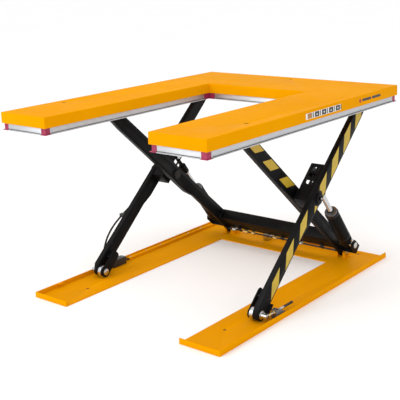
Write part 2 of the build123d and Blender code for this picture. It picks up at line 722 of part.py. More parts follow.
def rod():
    """Rod with its piston."""
    head = along_cylinder(BORE_RADIUS - RUNNING_FIT, ROD_INNER_END, ROD_INNER_END + 18)
    return head + along_cylinder(ROD_RADIUS, ROD_INNER_END + 18, SOCKET_START)


def rod_end():
    """Socket, shank and eye screwed to the rod."""
    body = along_cylinder(19, SOCKET_START, SOCKET_END)
    body = chamfer(body.edges().filter_by(GeomType.CIRCLE), 2)
    body += along_cylinder(10, SOCKET_END, cylinder_length - 8)
    body += cross_cylinder(16, CYLINDER_X - 10, CYLINDER_X + 10, eye_y, eye_z)
    return body - cross_cylinder(9, CYLINDER_X - 12, CYLINDER_X + 12, eye_y, eye_z)


def rod_pin():
    pin = cross_cylinder(9, CYLINDER_X - 26, CYLINDER_X + 26, eye_y, eye_z)
    collar_in = cross_cylinder(13, CYLINDER_X - 26, CYLINDER_X - 21, eye_y, eye_z)
    collar_out = cross_cylinder(13, CYLINDER_X + 21, CYLINDER_X + 26, eye_y, eye_z)
    return pin + collar_in + collar_out


# ---------------------------------------------------------------- write every node
save("base_frame", base_frame())
save("base_lugs", *base_lugs())
save("bottom_pivot_pins", *bottom_pivot_pins())
save("line_covers", cable_duct(), pipe_cover())
save("limit_switch", limit_switch())
save("switch_lever", switch_lever())
save("travel_stop_block", travel_stop_block())
save("travel_stop_screw", travel_stop_screw())
save("travel_stop_nuts", *travel_stop_nut())
save("swivel_body", swivel_body())
save("supply_pipe", supply_pipe())
save("supply_coupling", supply_coupling())

save_pair("inner_arm", inner_arm())
bottom_bush = bush(PIN_RADIUS, inner_in, inner_out, REAR_PIVOT_Y, pivot_z)
save("bottom_bushes", bottom_bush, mirrored(bottom_bush))
save("cross_beam", cross_beam())
save("centre_pins", centre_pin(), mirrored(centre_pin()))
save("centre_caps", centre_cap(), mirrored(centre_cap()))
save("cylinder_clevises", cylinder_clevis(), mirrored(cylinder_clevis()))
save("cylinder_base_pins", cylinder_base_pin(), mirrored(cylinder_base_pin()))
save("feed_line", feed_line())
save("bleed_line", bleed_line())
save("swivel_stem", swivel_stem())
save("top_axles", top_axle(), mirrored(top_axle()))

save_pair("top_roller", roller(inner_out + 4, inner_out + 28, top_pivot_z))
save_pair("bottom_roller", roller(outer_in - 21, outer_in - 3, pivot_z))

save_pair("outer_arm", outer_arm())
centre_bush = bush(CENTRE_PIN_RADIUS, outer_in, outer_out, centre_y, centre_z)
top_bush = bush(PIN_RADIUS, outer_in, outer_out, REAR_PIVOT_Y, top_pivot_z)
save("outer_bushes_right", centre_bush, top_bush)
save("outer_bushes_left", mirrored(centre_bush), mirrored(top_bush))
save_pair("bottom_axle", bottom_axle())
save_pair("rod_bracket", rod_bracket())
bent_conduit = conduit()
save("conduit", bent_conduit)
save("conduit_fittings", *[piece - bent_conduit for piece in conduit_fittings()])

save("deck", deck())
save("top_lugs", *top_lugs(), *[mirrored(lug) for lug in top_lugs()])
save("top_pins", top_pin(), mirrored(top_pin()))
save("roller_guides", roller_guide(), mirrored(roller_guide()))
stations = edge_stations()
save("edge_hangers", *[edge_hanger(*station) for station in stations])

corner_pieces, rail_pieces = safety_edge()
save("edge_corners", *corner_pieces.values())
rails = {}
for rail in rail_pieces:
    rails.setdefault(rail_name(rail), []).append(rail)
for name, pieces in rails.items():
    save(name, *pieces)
save("edge_guide_pins", *[edge_guide_pin(x, y) for x, y, _, _ in stations])

save_pair("barrel", barrel())
save_pair("gland", gland())
save_pair("rod", rod())
save_pair("rod_end", rod_end())
save_pair("rod_pin", rod_pin())
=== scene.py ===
import json
import math

import bmesh
import bpy
from mathutils import Matrix, Vector


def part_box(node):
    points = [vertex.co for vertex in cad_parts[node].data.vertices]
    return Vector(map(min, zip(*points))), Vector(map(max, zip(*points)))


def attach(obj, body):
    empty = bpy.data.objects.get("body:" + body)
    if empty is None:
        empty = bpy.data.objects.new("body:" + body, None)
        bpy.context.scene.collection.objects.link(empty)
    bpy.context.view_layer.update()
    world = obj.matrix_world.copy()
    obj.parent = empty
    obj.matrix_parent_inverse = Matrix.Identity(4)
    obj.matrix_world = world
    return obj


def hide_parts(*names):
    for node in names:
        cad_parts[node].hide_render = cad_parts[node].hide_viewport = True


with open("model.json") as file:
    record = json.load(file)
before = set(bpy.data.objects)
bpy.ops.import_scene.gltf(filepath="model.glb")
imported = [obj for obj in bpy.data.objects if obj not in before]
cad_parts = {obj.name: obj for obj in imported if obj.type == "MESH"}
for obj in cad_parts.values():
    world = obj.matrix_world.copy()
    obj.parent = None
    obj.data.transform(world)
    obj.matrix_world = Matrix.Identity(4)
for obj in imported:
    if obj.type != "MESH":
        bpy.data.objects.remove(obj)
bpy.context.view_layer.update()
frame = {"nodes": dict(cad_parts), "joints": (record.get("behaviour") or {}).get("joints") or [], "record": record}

# Pieces are drawn in millimetres in a local place (along, above, out) and scaled into the row frame.
MM = 0.001
WORLD = Matrix.Scale(MM, 4)
BEVEL = 0.7
JOINTS = {joint["name"]: joint for joint in frame["joints"]}
NODES = frame["nodes"]


# ------------------------------------------------------------------ places
def joint_point(name):
    """Where a joint's axis is, in millimetres."""
    return Vector(JOINTS[name]["pos_m"]) / MM


bottom_pivot = joint_point("lift")
centre_pivot = joint_point("scissor_right")
top_pivot = joint_point("deck_level")
axle = joint_point("bottom_roller_spin_right")
top_axle = joint_point("top_roller_spin_right")
foot_pin = joint_point("cylinder_swing_right")
lever_pivot = joint_point("switch_press")
ARM_ANGLE = math.atan2(top_pivot.z - axle.z, top_pivot.y - axle.y)
ARM_LENGTH = math.hypot(top_pivot.z - axle.z, top_pivot.y - axle.y)
RUN = math.cos(ARM_ANGLE)
CLIMB = math.sin(ARM_ANGLE)
ram_axis = -Vector(JOINTS["ram_stroke_right"]["axis"])


def corners(node):
    """Lowest and highest corner of a CAD node, in millimetres."""
    low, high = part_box(node)
    return low / MM, high / MM


def place(origin, along, above, out):
    """Matrix from millimetres along, above and out of an origin into the row frame."""
    turn = Matrix((along, above, out)).transposed().to_4x4()
    return WORLD @ Matrix.Translation(origin) @ turn


def outer_place(side, x):
    """Along an outer arm from its bottom axle, at distance x from the middle plane."""
    return place((side * x, axle.y, axle.z), (0, RUN, CLIMB), (0, -CLIMB, RUN), (side, 0, 0))


def inner_place(side, x):
    """Along an inner arm from its bottom pivot, at distance x from the middle plane."""
    return place((side * x, bottom_pivot.y, bottom_pivot.z), (0, -RUN, CLIMB), (0, CLIMB, RUN), (side, 0, 0))


def cylinder_place(side):
    """Out of the foot pin along the ram, with across pointing outboard."""
    across = Vector((side, 0, 0))
    return place((side * foot_pin.x, foot_pin.y, foot_pin.z), across, ram_axis.cross(across), ram_axis)


def at(where, along, above, out=0.0):
    """The same place moved to a point in it."""
    return where @ Matrix.Translation((along, above, out))


def facing(point, out):
    """A place at a point in the row frame, in millimetres, whose last axis points along out."""
    turn = Vector(out).to_track_quat("Z", "Y").to_matrix().to_4x4()
    return WORLD @ Matrix.Translation(point) @ turn


# ------------------------------------------------------------------ materials
def new_material(name):
    """A material with its shader, its node tree and object coordinates."""
    made = bpy.data.materials.new(name)
    made.use_nodes = True
    tree = made.node_tree
    shader = tree.nodes["Principled BSDF"]
    coordinates = tree.nodes.new("ShaderNodeTexCoord").outputs["Object"]
    return made, tree, shader, coordinates


def stretched(tree, coordinates, scale):
    """Coordinates scaled per axis, for brushed or layered grain."""
    mapping = tree.nodes.new("ShaderNodeMapping")
    mapping.inputs["Scale"].default_value = scale
    tree.links.new(coordinates, mapping.inputs["Vector"])
    return mapping.outputs["Vector"]


def noise(tree, coordinates, scale, detail=4.0, rough=0.55):
    """Fractal noise between 0 and 1."""
    texture = tree.nodes.new("ShaderNodeTexNoise")
    texture.inputs["Scale"].default_value = scale
    texture.inputs["Detail"].default_value = detail
    texture.inputs["Roughness"].default_value = rough
    tree.links.new(coordinates, texture.inputs["Vector"])
    return texture.outputs["Fac"]


def remap(tree, value, low, high, to_low, to_high):
    """The value stretched from one range to another and clamped to it."""
    node = tree.nodes.new("ShaderNodeMapRange")
    node.inputs["From Min"].default_value = low
    node.inputs["From Max"].default_value = high
    node.inputs["To Min"].default_value = to_low
    node.inputs["To Max"].default_value = to_high
    tree.links.new(value, node.inputs["Value"])
    return node.outputs["Result"]


def mixed(tree, factor, first, second):
    """Colour mix; first and second are colours or sockets."""
    node = tree.nodes.new("ShaderNodeMix")
    node.data_type = "RGBA"
    tree.links.new(factor, node.inputs["Factor"])
    for socket, value in ((node.inputs["A"], first), (node.inputs["B"], second)):
        if isinstance(value, tuple):
            socket.default_value = (*value, 1)
        else:
            tree.links.new(value, socket)
    return node.outputs["Result"]


def bumped(tree, shader, height, strength, distance):
    """Let a height pattern roughen the surface; distance is in metres."""
    node = tree.nodes.new("ShaderNodeBump")
    node.inputs["Strength"].default_value = strength
    node.inputs["Distance"].default_value = distance
    tree.links.new(height, node.inputs["Height"])
    tree.links.new(node.outputs["Normal"], shader.inputs["Normal"])


def paint(name, colour, shade, scuff, roughness, specular, peel=260.0):
    """Powder coat: cloudy colour, fine orange peel, and thin scuffs where it has been rubbed."""
    made, tree, shader, coordinates = new_material(name)
    shader.inputs["Specular IOR Level"].default_value = specular
    clouds = remap(tree, noise(tree, coordinates, 3.0), 0.35, 0.65, 0.0, 1.0)
    coat = mixed(tree, clouds, colour, shade)
    streaks = noise(tree, stretched(tree, coordinates, (40, 6, 40)), 3.0, 6.0, 0.7)
    rubbed = remap(tree, streaks, 0.66, 0.74, 0.0, 0.55)
    tree.links.new(mixed(tree, rubbed, coat, scuff), shader.inputs["Base Color"])
    dull = remap(tree, noise(tree, coordinates, 14.0), 0.3, 0.7, roughness - 0.05, roughness + 0.08)
    tree.links.new(dull, shader.inputs["Roughness"])
    bumped(tree, shader, noise(tree, coordinates, peel, 2.0), 0.12, 0.0006)
    return made


def metal(name, colour, tarnish, roughness, grain, bump=0.06):
    """Bare or plated metal with machining grain, stretched per axis by grain."""
    made, tree, shader, coordinates = new_material(name)
    shader.inputs["Metallic"].default_value = 1.0
    lines = noise(tree, stretched(tree, coordinates, grain), 8.0, 5.0, 0.7)
    stains = remap(tree, noise(tree, coordinates, 35.0), 0.45, 0.75, 0.0, 0.8)
    tree.links.new(mixed(tree, stains, colour, tarnish), shader.inputs["Base Color"])
    tree.links.new(remap(tree, lines, 0.3, 0.7, roughness * 0.7, roughness * 1.4), shader.inputs["Roughness"])
    bumped(tree, shader, lines, bump, 0.0004)
    return made


def plastic(name, colour, shade, roughness, texture_scale=700.0, specular=0.5):
    """Moulded plastic with a fine spark-eroded texture."""
    made, tree, shader, coordinates = new_material(name)
    shader.inputs["Specular IOR Level"].default_value = specular
    clouds = remap(tree, noise(tree, coordinates, 18.0), 0.35, 0.65, 0.0, 1.0)
    tree.links.new(mixed(tree, clouds, colour, shade), shader.inputs["Base Color"])
    dull = remap(tree, noise(tree, coordinates, 60.0), 0.3, 0.7, roughness - 0.06, roughness + 0.08)
    tree.links.new(dull, shader.inputs["Roughness"])
    bumped(tree, shader, noise(tree, coordinates, texture_scale, 2.0), 0.15, 0.0003)
    return made


def film(name, colour, shade):
    """Adhesive marking film with a cell pattern and scratches."""
    made, tree, shader, coordinates = new_material(name)
    cells = tree.nodes.new("ShaderNodeTexVoronoi")
    cells.inputs["Scale"].default_value = 900.0
    tree.links.new(coordinates, cells.inputs["Vector"])
    lines = noise(tree, stretched(tree, coordinates, (10, 60, 12)), 9.0, 6.0, 0.75)
    scratch = remap(tree, lines, 0.6, 0.72, 0.0, 0.7)
    clouds = remap(tree, noise(tree, coordinates, 30.0), 0.35, 0.7, 0.0, 0.6)
    worn = mixed(tree, clouds, colour, shade)
    tree.links.new(mixed(tree, scratch, worn, shade), shader.inputs["Base Color"])
    tree.links.new(remap(tree, cells.outputs["Distance"], 0.0, 0.6, 0.32, 0.5), shader.inputs["Roughness"])
    bumped(tree, shader, cells.outputs["Distance"], 0.1, 0.0002)
    return made


ORANGE = (0.80, 0.325, 0.0)
ORANGE_SHADE = (0.76, 0.302, 0.0)
ORANGE_RUBBED = (0.84, 0.36, 0.01)
BLACK = (0.0045, 0.0045, 0.005)
BLACK_SHADE = (0.007, 0.007, 0.0075)
MATERIALS = {
    "deck_paint": paint("orange_powder_coat", ORANGE, ORANGE_SHADE, ORANGE_RUBBED, 0.48, 0.006),
    "arm_paint": paint("black_satin_paint", BLACK, BLACK_SHADE, (0.02, 0.02, 0.02), 0.40, 0.075),
    "steel": metal("turned_steel", (0.60, 0.61, 0.63), (0.42, 0.42, 0.42), 0.24, (6, 60, 60)),
    "chrome": metal("hard_chrome", (0.62, 0.63, 0.65), (0.50, 0.51, 0.52), 0.09, (40, 40, 6), 0.02),
    "bronze": metal("bearing_bronze", (0.60, 0.38, 0.15), (0.30, 0.19, 0.09), 0.34, (8, 60, 60)),
    "brass": metal("brass", (0.80, 0.56, 0.20), (0.50, 0.33, 0.12), 0.26, (30, 8, 30)),
    "aluminium": metal("anodised_aluminium", (0.57, 0.58, 0.60), (0.52, 0.53, 0.55), 0.46, (3, 3, 90), 0.05),
    "corner_plastic": plastic("crimson_plastic", (0.36, 0.012, 0.075), (0.29, 0.010, 0.06), 0.34),
    "black_plastic": plastic("black_plastic", (0.016, 0.016, 0.017), (0.026, 0.026, 0.027), 0.5),
    "grey_paint": paint("grey_paint", (0.16, 0.165, 0.17), (0.12, 0.12, 0.125), (0.3, 0.3, 0.3), 0.4, 0.4),
}
hazard_film = film("hazard_yellow_film", (0.56, 0.38, 0.016), (0.44, 0.30, 0.018))
white_film = film("white_film", (0.80, 0.80, 0.78), (0.68, 0.67, 0.64))
# printed black for the labels, also used as painted shade in the gland's spanner holes
print_black_and_hole_shade = plastic("printed_black_and_hole_shade", (0.02, 0.02, 0.022), (0.035, 0.035, 0.036), 0.5)
print_brown = plastic("printed_ochre", (0.42, 0.20, 0.05), (0.36, 0.16, 0.04), 0.5)
print_red = plastic("printed_red", (0.42, 0.015, 0.012), (0.36, 0.012, 0.010), 0.5)
dark_steel = metal("blackened_steel", (0.16, 0.16, 0.165), (0.08, 0.08, 0.08), 0.38, (30, 30, 30))
zinc = metal("zinc_plate", (0.62, 0.63, 0.62), (0.52, 0.50, 0.42), 0.28, (30, 30, 30))
# black rubber for seals, wiper, cable, conduit and roller, also used as painted shade in the deck and base holes
rubber_and_hole_shade = plastic("black_rubber", (0.012, 0.012, 0.012), (0.022, 0.022, 0.021), 0.7, 400.0, 0.3)
weld_black = paint("painted_weld", BLACK, BLACK_SHADE, (0.03, 0.03, 0.03), 0.34, 0.3, 500.0)
weld_orange = paint("painted_orange_weld", ORANGE, ORANGE_SHADE, ORANGE_RUBBED, 0.4, 0.03, 500.0)


# ------------------------------------------------------------------ edges
SMOOTH_BELOW = math.radians(36)


def smooth_by_angle():
    """Geometry nodes that shade smooth across shallow edges and sharp across the rest."""
    group = bpy.data.node_groups.new("smooth_by_angle", "GeometryNodeTree")
    group.interface.new_socket("Geometry", in_out="INPUT", socket_type="NodeSocketGeometry")
    group.interface.new_socket("Geometry", in_out="OUTPUT", socket_type="NodeSocketGeometry")
    entry = group.nodes.new("NodeGroupInput")
    leave = group.nodes.new("NodeGroupOutput")
    faces = group.nodes.new("GeometryNodeSetShadeSmooth")
    edges = group.nodes.new("GeometryNodeSetShadeSmooth")
    edges.domain = "EDGE"
    angle = group.nodes.new("GeometryNodeInputMeshEdgeAngle")
    shallow = group.nodes.new("FunctionNodeCompare")
    shallow.data_type = "FLOAT"
    shallow.operation = "LESS_THAN"
    shallow.inputs["B"].default_value = SMOOTH_BELOW
    group.links.new(entry.outputs["Geometry"], faces.inputs["Geometry"])
    group.links.new(faces.outputs["Geometry"], edges.inputs["Geometry"])
    group.links.new(angle.outputs["Unsigned Angle"], shallow.inputs["A"])
    group.links.new(shallow.outputs["Result"], edges.inputs["Shade Smooth"])
    group.links.new(edges.outputs["Geometry"], leave.inputs["Geometry"])
    return group


SMOOTHING = smooth_by_angle()
SAME_PLACE = 1e-5         # metres between corners that are joined
SAME_PLANE = math.radians(0.6)
SHARP_EDGE = math.radians(38)


def finish_edges(piece, bevel, flatten=False):
    """Round the sharp edges by bevel millimetres; flatten first joins triangles of one plane."""
    if flatten:
        piece.modifiers.new("join_corners", "WELD").merge_threshold = SAME_PLACE
        planes = piece.modifiers.new("join_planes", "DECIMATE")
        planes.decimate_type = "DISSOLVE"
        planes.angle_limit = SAME_PLANE
    if bevel:
        rounding = piece.modifiers.new("edge_rounding", "BEVEL")
        rounding.width = bevel * MM
        rounding.segments = 2
        rounding.limit_method = "ANGLE"
        rounding.angle_limit = SHARP_EDGE
        rounding.miter_outer = "MITER_ARC"
    piece.modifiers.new("shading", "NODES").node_group = SMOOTHING


# ------------------------------------------------------------------ mesh drawing
def add_loft(bm, where, rings):
    """Skin a list of rings of local points and cap both ends."""
    drawn = [[bm.verts.new(where @ Vector(point)) for point in ring] for ring in rings]
    count = len(rings[0])
    for near, far in zip(drawn, drawn[1:]):
        for index in range(count):
            after = (index + 1) % count
            bm.faces.new((near[index], near[after], far[after], far[index]))
    bm.faces.new(list(reversed(drawn[0])))
    bm.faces.new(drawn[-1])


def add_prism(bm, where, outline, low, high):
    """A flat outline given thickness from low to high."""
    add_loft(bm, where, [[(x, y, level) for x, y in outline] for level in (low, high)])


def ring_points(radius, level, count, start=0.0):
    """Evenly spaced points on a circle, the first at the angle start."""
    turns = [start + 2 * math.pi * index / count for index in range(count)]
    return [(radius * math.cos(turn), radius * math.sin(turn), level) for turn in turns]


def add_turned(bm, where, profile, count=40):
    """A turned piece: profile is (radius, level) pairs up its axis."""
    add_loft(bm, where, [ring_points(radius, level, count) for radius, level in profile])


def add_hex(bm, where, across, low, high):
    """A hexagon head or nut with a chamfered top."""
    corner = across / math.sqrt(3)
    chamfer = 0.07 * across
    levels = [(corner, low), (corner, high - chamfer), (corner - chamfer, high)]
    add_loft(bm, where, [ring_points(radius, level, 6) for radius, level in levels])


def add_bolt(bm, where, thread):
    """Washer and hex head sitting on level zero of a place, with the thread's end showing."""
    base = 0.22 * thread
    top = base + 0.68 * thread
    add_turned(bm, where, [(1.1 * thread, 0), (1.1 * thread, base)], 28)
    add_hex(bm, where, 1.7 * thread, base, top)
    thread_end = [(0.5 * thread, top - 1), (0.5 * thread, top + 1.2), (0.36 * thread, top + 1.8)]
    add_turned(bm, where, thread_end, 20)


def add_socket_screw(bm, where, thread):
    """Domed screw head with a hexagon socket."""
    profile = [(0.95 * thread, 0), (0.95 * thread, 0.3 * thread), (0.6 * thread, 0.55 * thread)]
    add_turned(bm, where, profile, 24)
    recess = [ring_points(0.34 * thread, 0.56 * thread, 6), ring_points(0.30 * thread, 0.5 * thread, 6)]
    add_loft(bm, where, recess)


def rounded_box(width, height, radius, steps=4):
    """Outline of a rectangle with round corners, about its middle."""
    points = []
    for corner in range(4):
        cx = (width / 2 - radius) * (1 if corner in (0, 3) else -1)
        cy = (height / 2 - radius) * (1 if corner in (0, 1) else -1)
        for step in range(steps + 1):
            turn = math.pi / 2 * (corner + step / steps)
            points.append((cx + radius * math.cos(turn), cy + radius * math.sin(turn)))
    return points


def smooth_path(points, spacing):
    """Points every spacing millimetres on a smooth spline that passes near the given ones."""
    curve = bpy.data.curves.new("path", "CURVE")
    curve.dimensions = "3D"
    curve.resolution_u = 24
    spline = curve.splines.new("NURBS")
    spline.points.add(len(points) - 1)
    for target, point in zip(spline.points, points):
        target.co = (*point, 1)
    spline.use_endpoint_u = True
    spline.order_u = 3
    holder = bpy.data.objects.new("path", curve)
    drawn = bpy.data.meshes.new_from_object(holder)
    fine = [vertex.co.copy() for vertex in drawn.vertices]
    bpy.data.objects.remove(holder)
    bpy.data.meshes.remove(drawn)
    bpy.data.curves.remove(curve)
    return even_points(fine, spacing)


def even_points(points, spacing):
    """Resample a polyline at even steps, keeping both ends."""
    total = sum((b - a).length for a, b in zip(points, points[1:]))
    steps = max(1, round(total / spacing))
    wanted = [total * index / steps for index in range(steps + 1)]
    found = []
    travelled = 0.0
    for a, b in zip(points, points[1:]):
        length = (b - a).length
        while len(found) <= steps and wanted[len(found)] <= travelled + length + 1e-6:
            share = (wanted[len(found)] - travelled) / max(length, 1e-9)
            found.append(a.lerp(b, min(share, 1.0)))
        travelled += length
    if len(found) <= steps:
        found.append(points[-1])
    return found


def add_swept(bm, points, radii, count=14, where=WORLD):
    """A round bar along a path, with a radius for each of its points."""
    heading = (points[1] - points[0]).normalized()
    across = heading.orthogonal().normalized()
    rings = []
    for index, point in enumerate(points):
        before = points[max(index - 1, 0)]
        after = points[min(index + 1, len(points) - 1)]
        heading = (after - before).normalized()
        across = (across - heading * across.dot(heading)).normalized()
        upward = heading.cross(across)
        ring = []
        for x, y, _ in ring_points(radii[index], 0, count):
            ring.append(point + across * x + upward * y)
        rings.append(ring)
    add_loft(bm, where, rings)


WELD_STEP = 2.2
WELD_RIPPLE = 0.16


def add_weld(bm, where, points, radius):
    """A rippled weld bead along local points."""
    path = even_points([Vector(point) for point in points], WELD_STEP)
    radii = [radius * (1 + WELD_RIPPLE * math.sin(2.1 * index)) for index in range(len(path))]
    radii[0] = radii[-1] = 0.5 * radius
    add_swept(bm, path, radii, 8, where)


def piece(name, bm, material, body, slot):
    """Make an object from drawn geometry and let it ride on a CAD body."""
    bmesh.ops.recalc_face_normals(bm, faces=bm.faces)
    mesh = bpy.data.meshes.new(name)
    bm.to_mesh(mesh)
    bm.free()
    made = bpy.data.objects.new(name, mesh)
    bpy.context.scene.collection.objects.link(made)
    mesh.materials.append(material)
    finish_edges(made, bevel=0.0)
    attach(made, body)
    return made


# ------------------------------------------------------------------ CAD nodes keep their shape
SOFTENING = {"deck": 0.9, "base_frame": 0.9, "conduit": 0.0, "supply_pipe": 0.0}


def dress_nodes():
    """Give every CAD node the material of its slot, blackened steel for the glands instead, and softly rounded
    edges except on the conduit and the supply pipe.
    """
    for row in frame["record"]["subparts"]:
        node = NODES[row["node"]]
        is_gland = node.name.startswith("gland")
        node.data.materials.clear()
        node.data.materials.append(dark_steel if is_gland else MATERIALS[row["material_slot"]])
        finish_edges(node, SOFTENING.get(node.name, BEVEL), flatten=True)


# ------------------------------------------------------------------ hazard stripes
OUTER_STRIPES = (138, 287, 436, 647, 790, 933, 1076)
INNER_STRIPES = (640, 790, 940, 1090)
HALF_STRIPE = 566         # lower half only, beside the centre pin
STRIPE_LENGTH = 78.0
STRIPE_SLOPE = 1.17
FILM = 0.35
OUTER_LOWER_FACE = (-16, 33)
OUTER_UPPER_FACE = (-28, 28)
INNER_FACE = (-16, 27)
DOUBLER_END = 700
DOUBLER_THICKNESS = 7.0


def add_stripe(bm, where, start, low, high, slope):
    """A slanted stripe from the upper edge at start down to the lower edge."""
    end = start + STRIPE_LENGTH
    drop = slope * (high - low)
    add_prism(bm, where, [(start, high), (end, high), (end - drop, low), (start - drop, low)], 0.0, FILM)


def hazard_stripes(side, name):
    """Slanted film stripes along the outboard faces of one outer and one inner arm."""
    where = outer_place(side, corners("outer_bushes_right")[1].x)
    bm = bmesh.new()
    for start in OUTER_STRIPES:
        low, high = OUTER_LOWER_FACE if start < ARM_LENGTH / 2 else OUTER_UPPER_FACE
        add_stripe(bm, where, start, low, high, STRIPE_SLOPE)
    add_stripe(bm, where, HALF_STRIPE, -27, 0, STRIPE_SLOPE)
    piece(f"outer_arm_stripes_{name}", bm, hazard_film, f"outer_frame_{name}", slot="hazard_film")
    inner_face = corners("bottom_bushes")[1].x
    bm = bmesh.new()
    for start in INNER_STRIPES:
        raised = DOUBLER_THICKNESS if start < DOUBLER_END else 0.0
        add_stripe(bm, inner_place(side, inner_face + raised), start, *INNER_FACE, -STRIPE_SLOPE)
    piece(f"inner_arm_stripes_{name}", bm, hazard_film, "inner_frame", slot="hazard_film")


# ------------------------------------------------------------------ deck markings
LABEL_COUNT = 5
LABEL_START = -54
LABEL_PITCH = 56
LABEL_HEIGHT = 22
LABEL_WIDTH = 34
BAR_OFFSET = 26
BAR_WIDTH = 7
PRINT = 0.2
MARK_DISC = 18
MARK_PRINT = 0.25


def deck_markings():
    """A row of plain pictogram labels and a plain printed mark on the right skirt."""
    low, high = corners("deck")
    middle = (low.z + high.z) / 2 - 1
    skirt = place((high.x, 0, middle), (0, 1, 0), (0, 0, 1), (1, 0, 0))
    cells = [at(skirt, LABEL_START + LABEL_PITCH * index, 0, FILM) for index in range(LABEL_COUNT)]
    backing = bmesh.new()
    row_middle = LABEL_START + LABEL_PITCH * (LABEL_COUNT - 1) / 2
    add_prism(backing, at(skirt, row_middle, 0), rounded_box(282, 25, 2), 0, FILM)
    piece("label_backing", backing, white_film, "platform", slot="label_film")
    dark = bmesh.new()
    ochre = bmesh.new()
    for index, cell in enumerate(cells):
        square = rounded_box(LABEL_WIDTH, LABEL_HEIGHT, 1.5)
        add_prism(dark if index else ochre, cell, square, 0, PRINT)
        add_prism(dark, at(cell, BAR_OFFSET, 0), rounded_box(BAR_WIDTH, LABEL_HEIGHT, 1), 0, PRINT)
    piece("label_squares", dark, print_black_and_hole_shade, "platform", slot="label_print")
    piece("label_first_square", ochre, print_brown, "platform", slot="label_print")
    symbols = bmesh.new()
    triangle = [(-5, -4), (5, -4), (0, 5)]
    dot = rounded_box(8, 8, 3.5)
    for index, cell in enumerate(cells[1:]):
        add_prism(symbols, at(cell, 0, 0, PRINT), dot if index % 2 else triangle, 0, 0.15)
    piece("label_symbols", symbols, white_film, "platform", slot="label_film")
    mark = bmesh.new()
    add_prism(mark, at(skirt, 366, 1), rounded_box(MARK_DISC, MARK_DISC, 8.5), 0, MARK_PRINT)
    piece("plain_mark_disc", mark, print_red, "platform", slot="label_print")
    bars = bmesh.new()
    for along in (425, 515):
        add_prism(bars, at(skirt, along, 1), rounded_box(80, 12, 2), 0, MARK_PRINT)
    piece("plain_mark_bars", bars, print_black_and_hole_shade, "platform", slot="label_print")


def hole_shade_discs():
    """Painted shade: dark discs below the surface in the lifting-eye holes and the anchor holes stand in for the
    shade inside them.
    """
    mounts = {mount["name"]: mount for mount in frame["record"]["mounts"]}
    front = mounts["deck_eye_holes_front"]
    rear = Vector(mounts["deck_eye_hole_rear"]["pos_m"]) / MM
    front_y = front["pos_m"][1] / MM
    reach = front["dims"]["spacing_x_mm"] / 2
    deck_bm = bmesh.new()
    level = corners("deck")[1].z - 3.6
    # painted shade: a dark disc a little below the deck top in each lifting-eye hole
    for x, y in ((reach, front_y), (-reach, front_y), (rear.x, rear.y)):
        add_turned(deck_bm, facing((x, y, level), (0, 0, 1)), [(9.6, 0), (9.6, 1.6), (6.0, 2.2)], 32)
    piece("lifting_eye_hole_shade_discs", deck_bm, rubber_and_hole_shade, "platform", slot="black_plastic")
    anchors = mounts["base_anchor_holes"]
    middle_y = anchors["pos_m"][1] / MM
    half_x = anchors["dims"]["spacing_x_mm"] / 2
    half_y = anchors["dims"]["spacing_y_mm"] / 2
    base_bm = bmesh.new()
    # painted shade: a dark disc in each anchor hole of the base plate
    for x in (half_x, -half_x):
        for y in (middle_y - half_y, middle_y + half_y):
            add_turned(base_bm, facing((x, y, 0.5), (0, 0, 1)), [(6.8, 0), (6.8, 3.2), (5.0, 3.8)], 28)
    piece("anchor_hole_shade_discs", base_bm, rubber_and_hole_shade, "base", slot="black_plastic")


# ------------------------------------------------------------------ welds
BASE_LUGS = ((316, 340), (368, 382))
TOP_LUGS = ((446, 458), (490, 502))
LUG_HALF_FOOT = 26
TOP_LUG_HALF_FOOT = 30


def arm_welds(side, name):
    """Beads at the centre plate, the roller fork and the bracket of one outer arm."""
    inner, face = (corner.x for corner in corners("outer_bushes_right"))
    bm = bmesh.new()
    boss = at(outer_place(side, face), ARM_LENGTH / 2, 0)
    for end in (1, -1):
        add_weld(bm, boss, [(26 * end, -24, 0.6), (37 * end, 0, 0.6), (26 * end, 24, 0.6)], 2.4)
    block = at(outer_place(side, inner), 90, 2)
    add_weld(bm, block, [(-18, 18.5, -24), (-18, 18.5, -1)], 2.6)
    for along in (-19, 19):
        for out in (-1, -24):
            add_weld(bm, block, [(along, -17, out), (along, 17, out)], 2.6)
    bracket = at(outer_place(side, inner), ARM_LENGTH / 2, 0)
    add_weld(bm, bracket, [(27, -20, -0.8), (27, 24, -0.8)], 2.4)
    piece(f"outer_arm_welds_{name}", bm, weld_black, f"outer_frame_{name}", slot="arm_paint")


def frame_welds():
    """Beads where the channel, the clevis plates and the doublers meet the inner arms."""
    inner_face = corners("cross_beam")[1].x
    outer_face = corners("bottom_bushes")[1].x
    doubler_ends = ([(415, -21), (441, 11), (470, 20)], [(759, -19), (759, 15), (740, 20)])
    bm = bmesh.new()
    for side in (1, -1):
        inside = inner_place(side, inner_face)
        add_weld(bm, inside, [(42, -13, -0.8), (143, -13, -0.8), (143, 36, -0.8)], 2.6)
        add_weld(bm, inside, [(135, -5, -1), (135, 35, -1)], 2.4)
        outside = inner_place(side, outer_face)
        for along in (39, 47):
            add_weld(bm, outside, [(along, -17, 0.8), (along, 29, 0.8)], 2.4)
        for outline in doubler_ends:
            add_weld(bm, outside, [(along, above, 0.8) for along, above in outline], 2.2)
    piece("inner_frame_welds", bm, weld_black, "inner_frame", slot="arm_paint")


